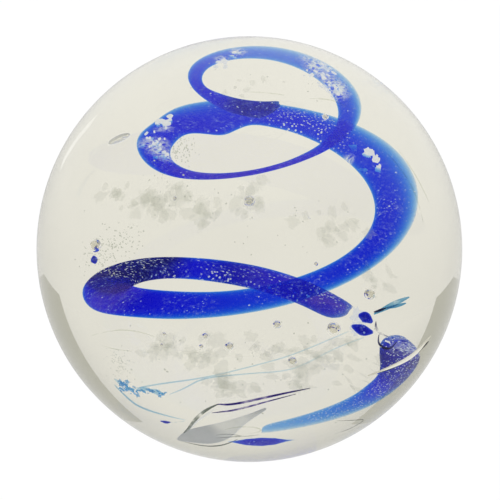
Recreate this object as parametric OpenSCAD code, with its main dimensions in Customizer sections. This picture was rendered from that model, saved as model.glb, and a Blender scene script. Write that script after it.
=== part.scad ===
// Glass marble: a clear ball of glass with a blue ribbon of glass coiled down inside it.
// Sizes are in millimetres. The origin is the ball's centre and +Z is the coil's axis, upwards.
// The coloured glass was drawn into the ball while both were soft, so each colour fills its own
// cavity in the clear glass face to face, with no clearance.
// A turn is counted in quarters: 0 is at the left (-X), 1 at the back (+Y), 2 at the right (+X),
// 3 at the front (-Y), 4 at the left again, and the ribbon goes down as the turn grows.

/* [Ball] */
// Diameter of the ball
ball_d = 25; // [24:0.5:40]

/* [Coil] */
// Radius of the coil's widest turn
coil_r = 6.5; // [4:0.1:8]
// Height of the coil's highest point above the ball's centre
coil_top = 8.6; // [7:0.1:9]
// Drop from the coil's highest point to the end of its tail
coil_drop = 15.8; // [10:0.1:16]
// Distance from the ball's centre to the coil's axis, to the right
coil_shift = 0.6; // [0:0.1:1]

/* [Ribbon] */
// Width of the ribbon where it is full
ribbon_w = 2; // [1:0.1:2.4]
// Thickness of the ribbon where it is full
ribbon_t = 0.4; // [0.2:0.05:0.5]
// Turn by which the ribbon's outer edge runs past its inner edge at the slanted tip, in degrees
tip_slant = 11; // [0:1:20]

/* [Streaks] */
// Diameter of a fine thread of pale glass
thread_d = 0.1; // [0.06:0.02:0.2]
// Length of the blue lens near the foot of the ball
lens_l = 3.6; // [2:0.2:5]
// Height of the blue lens at its middle
lens_h = 0.8; // [0.2:0.1:1]
// Diameter of the dark bead below the lowest thread
bead_d = 0.3; // [0.2:0.05:0.4]

/* [Flaws] */
// Diameter of a middling air bubble
bubble_d = 0.4; // [0.2:0.05:0.6]
// Length of the long air bubble near the top
long_bubble_l = 1.4; // [0.8:0.1:1.6]
// Width of the crease in the ball's skin where it is widest
crease_w = 0.35; // [0.2:0.05:0.6]
// Depth of the crease below the ball's skin
crease_depth = 0.15; // [0.05:0.05:0.3]
// Width of the folded-in air pocket at its widest
fold_w = 1.7; // [1:0.1:3]
// Thickness of the air pocket
fold_t = 0.25; // [0.1:0.05:0.4]

/* [Fineness] */
// Rings along a quarter turn of the ribbon
rings_per_quarter = 10; // [6:1:14]
// Points round the ribbon's section
ribbon_points = 12; // [8:2:16]

/* [Hidden] */

ball_r = ball_d / 2;
streak_points = 6;       // points round a thread's section
streak_rings = 4;        // rings from one point of a streak's path to the next
ball_facets = 128;
bubble_facets = 32;
spindle_facets = 24;     // facets round the lens and the long bubble
bubble_steps = 12;       // steps along the long bubble's outline
nudge = 0.01;            // step along a path by which its direction is found
deep_blue = [0.1, 0.12, 0.75];
pale_blue = [0.45, 0.7, 0.88];
clear_colour = [0.88, 0.88, 0.83, 0.3];

// Stations along the ribbon, from the tip down to the break. Each is
// [turn, radius, drop, width, thickness, lean, feather]:
// radius is a share of coil_r, drop of coil_drop, width of ribbon_w and thickness of ribbon_t, all
// in per cent. lean is how far the outer edge stands above the inner one, in degrees, and feather
// is how far the outer edge is thinned, in per cent.
RIBBON = [
  [-1.1, 45, 1.1, 70, 190, 68, 0],
  [-0.5, 45, 0.4, 64, 180, 60, 0],
  [-0.1, 48, 0.6, 42, 125, 35, 10],
  [0.3, 51, 2, 42, 100, 10, 20],
  [1, 55, 7, 60, 75, 0, 40],
  [2, 62, 12.5, 68, 95, 20, 88],
  [2.6, 64, 16, 65, 75, 25, 50],
  [3, 66, 19.3, 65, 65, 25, 40],
  [3.6, 69, 25.5, 70, 80, 10, 40],
  [4, 71, 28, 75, 100, 10, 40],
  [4.3, 72.5, 30, 80, 100, 0, 40],
  [4.48, 73, 31.2, 88, 100, -10, 50],
  [4.7, 73, 33.6, 152, 105, -8, 45],
  [4.88, 76, 34, 112, 105, -10, 45],
  [5.1, 77.5, 35.8, 104, 105, -13, 65],
  [6, 84, 45.5, 99, 115, 0, 92],
  [7, 88, 57, 92, 125, -22, 65],
  [7.6, 88, 63.3, 118, 140, -22, 40],
  [8, 91, 67.5, 107, 150, -25, 20],
  [8.3, 94, 69, 88, 150, -10, 10],
  [8.6, 95.5, 70, 80, 140, 0, 10],
  [9, 89.5, 74.3, 95, 140, 0, 10],
  [9.27, 83, 78.8, 76, 110, 0, 10],
];

// Stations along the tail, from the break down to the feathered end near the ball's foot.
TAIL = [
  [9.6, 78, 81.5, 45, 125, 0, 10],
  [9.75, 77, 83.5, 75, 125, 0, 10],
  [10, 80, 87, 90, 125, -5, 20],
  [10.25, 86, 90.5, 102, 90, -20, 40],
  [10.5, 93, 94.3, 95, 50, -30, 60],
  [11, 100, 100, 50, 25, -40, 60],
];

// Paths of the streaks. Each point is [right, back, up, width, thickness]: the place is in per cent
// of the ball's radius, and width and thickness are shares of the streak's own sizes, in per cent.
UPPER_THREAD = [
  [-47, -44, -43, 80, 80],
  [-34, -44, -38.5, 110, 110],
  [-16, -40, -35, 90, 90],
  [0, -32, -32, 75, 75],
  [14, -20, -30, 65, 65],
  [30, 4, -27.5, 50, 50],
];
MIDDLE_THREAD = [
  [-31, -48, -42.5, 60, 60],
  [-25, -46, -39.5, 90, 90],
  [-16, -43, -35, 100, 100],
  [0, -38.5, -33.5, 80, 80],
  [15, -32, -33, 70, 70],
  [28, -20, -28.5, 65, 65],
  [37, -8, -27, 50, 50],
];
LOWER_THREAD = [
  [-54, -40, -43, 120, 120],
  [-49, -48, -49.5, 200, 150],
  [-44.5, -52, -52, 220, 150],
  [-35, -56, -53.5, 150, 120],
  [-26.5, -60, -54.5, 60, 60],
];
// The wide smear below the upper thread's left end, and the frayed patch beyond it, in millimetres
// of width and thickness.
SMEAR = [[-44.5, -45.6, -42.8, 25, 60], [-41.5, -45.6, -41.6, 80, 100], [-38.5, -45.6, -41.8, 55, 80],
  [-35.5, -45.6, -42.3, 100, 100], [-33, -45.6, -43.4, 30, 60]];
FRAY = [[-53.5, -40, -40, 30, 50], [-50.5, -40, -41.5, 100, 100], [-47.5, -40, -42, 30, 50]];
SMEAR_SIZE = [0.45, 0.15];
FRAY_SIZE = [0.35, 0.12];

// The blue lens: shares of its half length along, and of its height in per cent. It is placed in
// per cent of the ball's radius and turned about Z in degrees.
LENS = [[-0.98, 4], [-0.78, 25], [-0.44, 75], [0, 100], [0.39, 80], [0.74, 25], [0.98, 4]];
LENS_PLACE = [5, -56, -66];
LENS_TURN = 4;

// Chips of the ribbon's glass: two in the break and one out beside the lowest turn. They belong to
// the coil, so each point is [turn, radius, drop, width, thickness], as a station's first three
// numbers are, with width and thickness as for the threads.
CHIPS = [
  [[9.4, 75.5, 77.8, 25, 50], [9.42, 77.5, 78.2, 100, 100], [9.44, 79.5, 79.3, 25, 50]],
  [[9.39, 71.5, 79.7, 25, 50], [9.43, 74, 80.5, 100, 100], [9.465, 77, 80.9, 25, 50]],
  [[8, 108, 57.6, 30, 50], [8, 105.5, 57.3, 100, 100], [8, 103.5, 57, 30, 50]],
];
CHIP_SIZE = [0.45, 0.3];
// The dark bead, drawn out along the lowest thread.
BEAD = [[-38.5, -57.6, -58, 30, 50], [-36, -57.6, -58, 100, 100], [-33.5, -57.6, -57.3, 30, 50]];

// The air pocket that a fold shut in, from its mouth under the skin to its thin end.
FOLD = [[-32, -56, -70.6, 10, 50], [-27.6, -56, -67.4, 55, 90], [-22.8, -56, -64.8, 90, 100],
  [-17, -56, -62.5, 100, 100], [-11, -55, -59, 85, 90], [-5.4, -54, -54.6, 50, 70],
  [0.2, -52, -50.8, 22, 50], [6.3, -50, -47, 6, 40]];

// Air bubbles: [right, back, up] in per cent of the ball's radius, then the size in per cent of
// bubble_d.
BUBBLES = [
  [-32.5, -48, -17, 50], [-33.5, -48, -21.5, 40], [-16, -40, -19, 75], [-17.5, -40, -23, 50],
  [-7, -32, -24.5, 100], [10, -40, -14.5, 100], [24, -32, 6, 50], [14.5, -24, -31.5, 100],
  [0, -24, 27, 130], [-29, -40, 35.5, 50], [27, 0, 50, 75], [9.5, -48, -53.5, 60],
];

// Bubbles that lie close by the ribbon and belong to the coil: [turn, radius, drop] as a station's,
// then the size as above.
COIL_BUBBLES = [[8, 106, 53.4, 140], [9.44, 79.5, 73.4, 90], [9.55, 47.5, 77.8, 120]];

// The long air bubble: its middle, as for the others, its thickness in per cent of bubble_d, and
// how far it leans from upright, in degrees.
LONG_BUBBLE = [-56.5, -32, 62.5, 125];
LONG_BUBBLE_LEAN = 75;

// The crease: a path along the skin, given as for the threads. Both its ends stand just outside
// the ball, so that it runs out to a point.
CREASE = [[54.6, -77.4, -33.6, 20, 20], [63.7, -69.9, -32.5, 50, 80], [73.1, -60.6, -31.4, 100, 100],
  [77.8, -55.6, -29.2, 100, 100], [82.4, -51, -26.7, 20, 20]];

// ---- Curves ----

// Row i of a list, carried on in a straight line past either end.
function row_at(rows, i) =
  i < 0 ? 2 * rows[0] - rows[1]
  : i >= len(rows) ? 2 * rows[len(rows) - 1] - rows[len(rows) - 2]
  : rows[i];

// A smooth blend through the rows of a list: whole numbers of t give the rows themselves.
function blend(rows, t) =
  let (
    i = max(0, min(floor(t), len(rows) - 2)),
    f = t - i,
    a = row_at(rows, i - 1),
    b = rows[i],
    c = rows[i + 1],
    d = row_at(rows, i + 2)
  )
  b + f / 2 * ((c - a) + f * ((2 * a - 5 * b + 4 * c - d) + f * (3 * b - a - 3 * c + d)));

// Places along a list of stations, spread evenly over the turn.
function coil_steps(rows) = [
  for (i = [0 : len(rows) - 2])
    let (n = max(2, ceil(rings_per_quarter * (rows[i + 1][0] - rows[i][0]))))
      for (k = [0 : n - 1]) i + k / n,
  len(rows) - 1,
];

// ---- Places ----

// Height above the ball's centre of a station's drop.
function height_at(drop) = coil_top - drop * coil_drop / 100;

// The place at a radius and an angle round the coil's axis, z above the ball's centre.
function round_coil(r, a, z) = [coil_shift + r * cos(a), r * sin(a), z];

// The angle about Z of a turn that is counted in quarters.
function angle_of(turn) = 180 - 90 * turn;

// The place of a row that starts with a turn, a radius and a drop.
function coil_place(s) = round_coil(s[1] * coil_r / 100, angle_of(s[0]), height_at(s[2]));

// A path given by the coil, as a path in per cent of the ball's radius.
function from_coil(path) = [for (s = path) concat(coil_place(s) * 100 / ball_r, [s[3], s[4]])];

// ---- Sections ----

// One ring of points round the ribbon. slant turns the outer edge on and the inner edge back.
function ribbon_ring(s, slant) =
  let (
    radius = s[1] * coil_r / 100,
    height = height_at(s[2]),
    half_w = s[3] * ribbon_w / 200,
    half_t = s[4] * ribbon_t / 200
  )
  [
    for (k = [0 : ribbon_points - 1])
      let (
        p = 360 * k / ribbon_points,
        across = half_w * cos(p),
        up = half_t * sin(p) * (1 - s[6] / 100 * cos(p)),
        r = radius + across * cos(s[5]) - up * sin(s[5]),
        z = height + across * sin(s[5]) + up * cos(s[5]),
        a = angle_of(s[0]) + slant * cos(p)
      )
        round_coil(r, a, z),
  ];

// One ring of points round a streak whose path runs towards dir.
function streak_ring(s, dir, size) =
  let (
    side = cross(dir, [0, 0, 1]) / norm(cross(dir, [0, 0, 1])),
    rise = cross(side, dir) / norm(dir),
    centre = [s[0], s[1], s[2]] * ball_r / 100
  )
  [
    for (k = [0 : streak_points - 1])
      let (p = 360 * k / streak_points)
        centre + rise * size[0] * s[3] / 200 * cos(p) + side * size[1] * s[4] / 200 * sin(p),
  ];

// ---- Solids ----

// A closed skin over a list of rings, each with the same number of points.
module skin(rings) {
  n = len(rings[0]);
  last = (len(rings) - 1) * n;
  polyhedron(
    points = [for (ring = rings) each ring],
    faces = [
      [for (k = [0 : n - 1]) k],
      [for (k = [0 : n - 1]) last + n - 1 - k],
      for (i = [0 : len(rings) - 2], k = [0 : n - 1])
        let (a = i * n + k, b = i * n + (k + 1) % n)
          each [[a, a + n, b], [b, a + n, b + n]],
    ]
  );
}

// The ribbon through a list of stations.
module ribbon(rows, slant = 0) {
  steps = coil_steps(rows);
  skin([for (t = steps) ribbon_ring(blend(rows, t), slant * max(0, 1 - t))]);
}

// A streak of glass along a path, size being its full width and thickness.
module streak(rows, size) {
  n = (len(rows) - 1) * streak_rings;
  skin([
    for (k = [0 : n])
      let (t = k / streak_rings, dir = blend(rows, t + nudge) - blend(rows, t - nudge))
        streak_ring(blend(rows, t), [dir[0], dir[1], dir[2]], size),
  ]);
}

module lens_solid() {
  translate(LENS_PLACE * ball_r / 100)
    rotate([0, 90, LENS_TURN])
      rotate_extrude($fn = spindle_facets)
        polygon([
          [0, -lens_l / 2],
          for (s = LENS) [lens_h * s[1] / 200, s[0] * lens_l / 2],
          [0, lens_l / 2],
        ]);
}

module threads() {
  round = [thread_d, thread_d];
  streak(UPPER_THREAD, round);
  streak(MIDDLE_THREAD, round);
  streak(LOWER_THREAD, round);
  streak(SMEAR, SMEAR_SIZE);
  streak(FRAY, FRAY_SIZE);
}

module chips() {
  for (path = CHIPS) streak(from_coil(path), CHIP_SIZE);
  streak(BEAD, [bead_d, bead_d]);
}

module bubble(place, share) {
  translate(place) sphere(d = bubble_d * share / 100, $fn = bubble_facets);
}

module bubbles() {
  for (b = BUBBLES) bubble([b[0], b[1], b[2]] * ball_r / 100, b[3]);
  for (b = COIL_BUBBLES) bubble(coil_place(b), b[3]);
  long_bubble();
}

// A bubble drawn out as the glass was turned: a half ellipse spun about its length.
module long_bubble() {
  half_l = long_bubble_l / 2;
  half_d = bubble_d * LONG_BUBBLE[3] / 200;
  translate([LONG_BUBBLE[0], LONG_BUBBLE[1], LONG_BUBBLE[2]] * ball_r / 100)
    rotate([0, LONG_BUBBLE_LEAN, 0])
      rotate_extrude($fn = spindle_facets)
        polygon([
          [0, -half_l],
          for (k = [1 : bubble_steps - 1])
            let (a = 180 * k / bubble_steps) [half_d * sin(a), -half_l * cos(a)],
          [0, half_l],
        ]);
}

// ---- Parts ----

module clear_glass() {
  color(clear_colour)
    difference() {
      sphere(d = ball_d, $fn = ball_facets);
      ribbon(RIBBON, tip_slant);
      ribbon(TAIL);
      chips();
      lens_solid();
      threads();
      bubbles();
      streak(FOLD, [fold_w, fold_t]);
      streak(CREASE, [crease_w, 2 * crease_depth]);
    }
}

module blue_ribbon() {
  color(deep_blue) ribbon(RIBBON, tip_slant);
}

module ribbon_tail() {
  color(deep_blue) ribbon(TAIL);
}

module ribbon_chips() {
  color(deep_blue) chips();
}

module blue_lens() {
  color(deep_blue) lens_solid();
}

module pale_threads() {
  color(pale_blue) threads();
}

clear_glass();
blue_ribbon();
ribbon_tail();
ribbon_chips();
blue_lens();
pale_threads();
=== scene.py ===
"""Glass marble: the looks of a clear glass ball with a blue ribbon of glass coiled down inside it.

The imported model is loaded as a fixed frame. The clear ball is made again as a fine, smooth skin,
with its air bubbles, air pocket and crease taken from the frame's own shape. The coloured glass is
a refined copy of each node. Lengths are in metres unless a name or its docstring says otherwise.
"""

from __future__ import annotations

import logging
import math
import random
from dataclasses import dataclass, field
from enum import Enum
from typing import Any, Iterable, Protocol, Sequence

import bmesh
import bpy
from mathutils import Matrix, Vector

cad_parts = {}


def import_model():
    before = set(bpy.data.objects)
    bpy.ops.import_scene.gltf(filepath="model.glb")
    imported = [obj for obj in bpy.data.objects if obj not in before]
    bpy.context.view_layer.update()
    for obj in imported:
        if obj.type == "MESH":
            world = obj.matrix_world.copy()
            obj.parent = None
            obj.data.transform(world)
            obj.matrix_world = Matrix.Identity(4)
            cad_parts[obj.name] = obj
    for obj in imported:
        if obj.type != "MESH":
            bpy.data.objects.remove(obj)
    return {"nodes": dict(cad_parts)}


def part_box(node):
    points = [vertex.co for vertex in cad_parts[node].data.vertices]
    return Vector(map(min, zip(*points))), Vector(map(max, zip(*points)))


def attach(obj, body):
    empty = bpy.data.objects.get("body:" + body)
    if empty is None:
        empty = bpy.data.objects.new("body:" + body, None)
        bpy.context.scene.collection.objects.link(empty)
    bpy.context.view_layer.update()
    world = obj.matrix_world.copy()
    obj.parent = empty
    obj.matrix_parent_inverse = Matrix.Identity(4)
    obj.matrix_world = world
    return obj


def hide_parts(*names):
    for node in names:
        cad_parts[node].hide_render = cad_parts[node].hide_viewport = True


LOG = logging.getLogger("marble")
BALL_NODE = "clear_glass"
BODY = "root"
CORE = "core"
HOLLOW_MATERIAL = 1
MM = 0.001
MERGE = 1e-7  # how close two points of a CAD mesh lie that are one
SAME_PLACE = 2e-5  # how close two boxes' corners lie if one solid fills the other's hollow
PAIR_ANGLE = math.radians(60)  # the most that two triangles joined into one face may bend
STAGE_LIGHT = 1.02  # just over white, so that the floor is white

Colour = tuple[float, float, float]
Point = tuple[float, float, float]
WHITE: Colour = (1.0, 1.0, 1.0)


class Slot(Enum):
    """The record's material slots."""

    CLEAR = "clear_glass"
    BLUE = "blue_glass"
    PALE = "pale_blue_glass"


class CellPart(Enum):
    """What a distance within a cell counts from."""

    MIDDLE = "F1"
    WALL = "DISTANCE_TO_EDGE"


@dataclass(frozen=True)
class Spot:
    """A round place in the ball where a finish changes: middle and reach in mm from its centre."""

    x: float
    y: float
    z: float
    reach_mm: float
    strength: float = 1.0

    def middle(self) -> Point:
        """The middle in metres."""
        return (self.x * MM, self.y * MM, self.z * MM)

    def reach(self) -> float:
        """The reach in metres."""
        return self.reach_mm * MM


# ---- shader values


class Value:
    """A number that a shader works out, with Python's own arithmetic."""

    def __init__(self, socket: bpy.types.NodeSocket) -> None:
        """Wraps an output socket."""
        self.socket = socket

    def _maths(self, operation: str, *operands: Any) -> Value:
        """Adds one Math node.

        Args:
            operation: the Math node's operation.
            operands: values or numbers, in the node's order.

        Returns:
            The node's result.
        """
        tree = self.socket.id_data
        node = tree.nodes.new("ShaderNodeMath")
        node.operation = operation
        for into, operand in zip(node.inputs, operands):
            if isinstance(operand, Value):
                tree.links.new(operand.socket, into)
            else:
                into.default_value = operand
        return Value(node.outputs[0])

    def __add__(self, other: Any) -> Value:
        """self + other."""
        return self._maths("ADD", self, other)

    __radd__ = __add__

    def __sub__(self, other: Any) -> Value:
        """self - other."""
        return self._maths("SUBTRACT", self, other)

    def __rsub__(self, other: Any) -> Value:
        """other - self."""
        return self._maths("SUBTRACT", other, self)

    def __mul__(self, other: Any) -> Value:
        """self * other."""
        return self._maths("MULTIPLY", self, other)

    __rmul__ = __mul__

    def clamped(self) -> Value:
        """Holds the value between 0 and 1."""
        return self._maths("MINIMUM", self._maths("MAXIMUM", self, 0.0), 1.0)

    def above(self, edge: float, soft: float) -> Value:
        """Rises from 0 to 1 as the value passes an edge.

        Args:
            edge: where the rise starts.
            soft: how far the rise takes.

        Returns:
            The mask.
        """
        return ((self - edge) * (1.0 / soft)).clamped()


class Shader:
    """Builds the node tree of one material or of the world."""

    def __init__(self, name: str, world: bool = False) -> None:
        """Starts an empty tree.

        Args:
            name: the name of the material or world.
            world: whether it is a world.
        """
        self.owner = (bpy.data.worlds if world else bpy.data.materials).new(name)
        self.owner.use_nodes = True
        self.tree = self.owner.node_tree
        self.tree.nodes.clear()
        self.output = self.node("ShaderNodeOutputWorld" if world else "ShaderNodeOutputMaterial")

    def node(
        self,
        kind: str,
        settings: dict[str, Any] | None = None,
        inputs: dict[Any, Any] | None = None,
    ) -> bpy.types.Node:
        """Adds a node, with its settings made first.

        Args:
            kind: the node's type.
            settings: attributes of the node.
            inputs: values or links of its sockets, by name or number.

        Returns:
            The new node.
        """
        node = self.tree.nodes.new(kind)
        for name, value in (settings or {}).items():
            setattr(node, name, value)
        for name, value in (inputs or {}).items():
            self.feed(node.inputs[name], value)
        return node

    def feed(self, socket: bpy.types.NodeSocket, value: Any) -> None:
        """Links or sets one input socket.

        Args:
            socket: the input socket.
            value: a shader value, a node, an output socket or a plain value.
        """
        if isinstance(value, Value):
            value = value.socket
        if isinstance(value, bpy.types.Node):
            value = value.outputs[0]
        if isinstance(value, bpy.types.NodeSocket):
            self.tree.links.new(value, socket)
        elif socket.type == "RGBA" and len(value) == 3:
            socket.default_value = (*value, 1.0)
        else:
            socket.default_value = value

    def place(self) -> bpy.types.NodeSocket:
        """The point being shaded, in the piece's own space."""
        return self.node("ShaderNodeTexCoord").outputs["Object"]

    def grain(self, scale: float, detail: float = 2.0, roughness: float = 0.5) -> Value:
        """Noise over the piece.

        Args:
            scale: how many grains fit in a metre.
            detail: how many finer layers it has.
            roughness: how strong the finer layers are.

        Returns:
            A value about 0.5.
        """
        noise = self.node(
            "ShaderNodeTexNoise",
            {"noise_dimensions": "3D"},
            {"Vector": self.place(), "Scale": scale, "Detail": detail, "Roughness": roughness},
        )
        return Value(noise.outputs[0])

    def cells(self, scale: float, start: CellPart) -> Value:
        """Distance within a random packing of cells.

        Args:
            scale: how many cells fit in a metre.
            start: what the distance counts from.

        Returns:
            The distance, as a share of a cell.
        """
        cells = self.node(
            "ShaderNodeTexVoronoi",
            {"feature": start.value},
            {"Vector": self.place(), "Scale": scale},
        )
        return Value(cells.outputs["Distance"])

    def flecks(self, scale: float, size: float, share: float) -> Value:
        """Small round flecks.

        Args:
            scale: how many cells fit in a metre.
            size: a fleck's reach, as a share of a cell.
            share: the share of the cells that hold a fleck.

        Returns:
            A mask that is 1 in the middle of each fleck.
        """
        cells = self.node("ShaderNodeTexVoronoi", {}, {"Vector": self.place(), "Scale": scale})
        chosen = Value(cells.outputs["Color"]).above(1.0 - share, 0.02)
        return (size - Value(cells.outputs["Distance"])).above(0.0, size * 0.5) * chosen

    def near(self, spot: Spot) -> Value:
        """How close the shaded point is to the middle of a spot.

        Args:
            spot: the spot.

        Returns:
            The spot's strength at its middle, falling to 0 at its edge.
        """
        gap = self.node(
            "ShaderNodeVectorMath", {"operation": "DISTANCE"}, {0: self.place(), 1: spot.middle()}
        )
        distance = Value(gap.outputs["Value"])
        return (1.0 - distance * (1.0 / spot.reach())).above(0.0, 0.6) * spot.strength

    def spots(self, spots: Sequence[Spot]) -> Value | float:
        """How close the shaded point is to any of several spots.

        Args:
            spots: the spots.

        Returns:
            The sum of what near() says of each.
        """
        total: Value | float = 0.0
        for spot in spots:
            total = self.near(spot) + total
        return total

    def ramp(
        self, factor: Value, first: tuple[float, Colour], last: tuple[float, Colour]
    ) -> bpy.types.NodeSocket:
        """A ramp between two colours.

        Args:
            factor: where on the ramp to look.
            first: the place and colour that it starts from.
            last: the place and colour that it ends at.

        Returns:
            The colour output.
        """
        node = self.node("ShaderNodeValToRGB", {}, {"Fac": factor})
        for element, (place, colour) in zip(node.color_ramp.elements, (first, last)):
            element.position = place
            element.color = (*colour, 1.0)
        return node.outputs["Color"]

    def clear(self, colour: Colour = WHITE) -> bpy.types.Node:
        """A shader that lets light straight through, tinted by a colour."""
        return self.node("ShaderNodeBsdfTransparent", {}, {"Color": colour})

    def matt(self, colour: Colour) -> bpy.types.Node:
        """A matt shader."""
        return self.node("ShaderNodeBsdfDiffuse", {}, {"Color": colour})

    def lamp(self, colour: Colour, strength: Any) -> bpy.types.Node:
        """A shader that gives off its own light."""
        return self.node("ShaderNodeEmission", {}, {"Color": colour, "Strength": strength})

    def matt_with_painted_glow(self, colour: Colour, glow: float) -> bpy.types.Node:
        """A matt shader, part of whose light is its own: painted glow, an emission that makes a
        part that is no lamp give off light.

        Args:
            colour: its colour.
            glow: the share of its own light, the painted glow.

        Returns:
            The shader node.
        """
        return self.mixed(glow, self.matt(colour), self.lamp(colour, 1.0))

    def mixed(self, factor: Any, first: bpy.types.Node, second: bpy.types.Node) -> bpy.types.Node:
        """A Mix Shader of two shaders.

        Args:
            factor: the share of the second, from 0 to 1.
            first: the shader at 0.
            second: the shader at 1.

        Returns:
            The Mix Shader node.
        """
        return self.node("ShaderNodeMixShader", {}, {0: factor, 1: first, 2: second})

    def finish(self, surface: bpy.types.Node, volume: bpy.types.Node | None = None) -> bpy.types.ID:
        """Joins the tree to its output.

        Args:
            surface: the surface shader.
            volume: what fills the solid, if anything.

        Returns:
            The material or world.
        """
        self.feed(self.output.inputs["Surface"], surface)
        if volume is not None:
            self.feed(self.output.inputs["Volume"], volume)
        return self.owner


# ---- finishes


class Finish(Protocol):
    """Anything that makes a material."""

    def material(self) -> bpy.types.Material:
        """Makes the material."""


@dataclass(frozen=True)
class ClearGlass:
    """Clear glass with a faint, slightly mottled tint, which it takes at its skin."""

    name: str = "clear_glass"
    tint: Colour = (0.792, 0.774, 0.682)
    index: float = 1.5
    ripple: float = 0.02
    ripple_mm: float = 0.2
    ripple_scale: float = 160.0
    mottle: float = 0.02
    mottle_scale: float = 240.0

    def material(self) -> bpy.types.Material:
        """Makes the material.

        Returns:
            The material.
        """
        shader = Shader(self.name)
        bump = shader.node(
            "ShaderNodeBump",
            {},
            {
                "Strength": self.ripple,
                "Distance": self.ripple_mm * MM,
                "Height": shader.grain(self.ripple_scale),
            },
        )
        deep = tuple(channel * (1.0 - self.mottle) for channel in self.tint)
        pale = tuple(min(1.0, channel * (1.0 + self.mottle)) for channel in self.tint)
        colour = shader.ramp(shader.grain(self.mottle_scale, 3.0), (0.3, deep), (0.7, pale))
        glass = shader.node(
            "ShaderNodeBsdfPrincipled",
            {},
            {
                "Base Color": colour,
                "Roughness": 0.0,
                "IOR": self.index,
                "Transmission Weight": 1.0,
                "Normal": bump,
            },
        )
        return shader.finish(glass)


@dataclass(frozen=True)
class ColouredGlass:
    """Coloured glass fused into the clear: its skin bends no light, and its depth colours it."""

    name: str
    passes: Colour
    density: float
    speck_share: float = 0.5
    frost_spots: tuple[Spot, ...] = ()
    veil_spots: tuple[Spot, ...] = ()
    sparkle_spots: tuple[Spot, ...] = ()
    haze_spots: tuple[Spot, ...] = ()
    milkiness: float = 0.035
    milk: Colour = (0.12, 0.13, 0.80)
    veil: Colour = (0.10, 0.08, 0.46)
    haze: Colour = (0.42, 0.24, 0.70)
    dust: Colour = (0.40, 0.55, 1.0)
    frost: Colour = (0.78, 0.87, 1.0)
    haze_glow: float = 0.5
    frost_glow: float = 0.6
    cloud_scale: float = 420.0
    veil_scale: float = 700.0
    haze_scale: float = 2600.0
    dust_scale: float = 5200.0
    fleck_scale: float = 2600.0
    sparkle_scale: float = 8000.0
    wall_scale: float = 4000.0
    crust_scale: float = 3600.0

    def material(self) -> bpy.types.Material:
        """Makes the material.

        Returns:
            The material.
        """
        shader = Shader(self.name)
        surface = shader.clear()
        if self.veil_spots:
            streaks = shader.grain(self.veil_scale, 3.0).above(0.25, 0.3)
            veil = (shader.spots(self.veil_spots) * streaks).clamped()
            surface = shader.mixed(veil, surface, shader.clear(self.veil))
        surface = shader.mixed(self.milkiness, surface, shader.matt(self.milk))
        if self.haze_spots:
            clouds = shader.grain(self.haze_scale, 3.0).above(0.3, 0.4) * 0.6 + 0.4
            haze = (shader.spots(self.haze_spots) * clouds).clamped()
            # Painted glow: the haze's matt colour also gives off light of its own.
            surface = shader.mixed(haze, surface, shader.matt_with_painted_glow(self.haze, self.haze_glow))
        # Painted glow: the dust, flecks, sparkles and crust give off light of their own, and the
        # sparkles are painted glints.
        if self.speck_share > 0.0:
            layers = ((self._dust(shader), self.dust), (self._flecks(shader), self.frost))
            for mask, colour in layers:
                surface = shader.mixed(mask.clamped(), surface, shader.matt_with_painted_glow(colour, self.frost_glow))
        volume = shader.node(
            "ShaderNodeVolumeAbsorption", {}, {"Color": self.passes, "Density": self.density}
        )
        return shader.finish(surface, volume)

    def _dust(self, shader: Shader) -> Value:
        """Fine dust in loose clouds all through the glass.

        Args:
            shader: the shader to add to.

        Returns:
            The mask of the dust.
        """
        clouds = shader.grain(self.cloud_scale, 3.0).above(0.3, 0.3)
        fine = shader.grain(self.dust_scale, 3.0, 0.7).above(0.52, 0.2) * 0.3
        return clouds * (shader.flecks(self.dust_scale, 0.24, self.speck_share) * 0.8 + fine)

    def _flecks(self, shader: Shader) -> Value:
        """Bright flecks, with sparkles and a frosted crust at their own spots.

        Args:
            shader: the shader to add to.

        Returns:
            The mask of all three.
        """
        bright = shader.flecks(self.fleck_scale, 0.15, 0.35) * 0.8
        if self.sparkle_spots:
            sparkles = shader.flecks(self.sparkle_scale, 0.34, 0.7) * 1.5
            bright = bright + shader.spots(self.sparkle_spots) * sparkles
        if self.frost_spots:
            walls = (0.22 - shader.cells(self.wall_scale, CellPart.WALL)).above(0.0, 0.16)
            crust = shader.grain(self.crust_scale, 4.0, 0.7).above(0.45, 0.12)
            bright = bright + shader.spots(self.frost_spots) * (walls * 0.7 + crust * 0.7)
        return bright


@dataclass(frozen=True)
class CloudySkin:
    """Thin skins of half-melted glass: mottled, and thinning out towards their rims."""

    name: str
    colour: Colour
    strength: float
    edge: float
    soft: float
    glow: float
    mottle_scale: float = 1700.0
    grain_scale: float = 5200.0
    grain_colour: Colour = (0.95, 0.97, 0.92)
    grain_strength: float = 0.6

    def material(self) -> bpy.types.Material:
        """Makes the material.

        Returns:
            The material.
        """
        shader = Shader(self.name)
        core = Value(shader.node("ShaderNodeAttribute", {"attribute_name": CORE}).outputs["Fac"])
        mottle = shader.grain(self.mottle_scale, 4.0, 0.65) * 0.9
        patch = (core + mottle).above(self.edge, self.soft) * self.strength
        # Painted glow: the skin and its grains are matt mixed with emission, so they give off light
        # of their own.
        hazy = shader.mixed(patch, shader.clear(), shader.matt_with_painted_glow(self.colour, self.glow))
        grains = (1.0 - shader.cells(self.grain_scale, CellPart.MIDDLE)).above(0.72, 0.1)
        dots = grains * core.above(0.1, 0.3) * (self.strength * self.grain_strength)
        return shader.finish(shader.mixed(dots, hazy, shader.matt_with_painted_glow(self.grain_colour, self.glow)))


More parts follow.
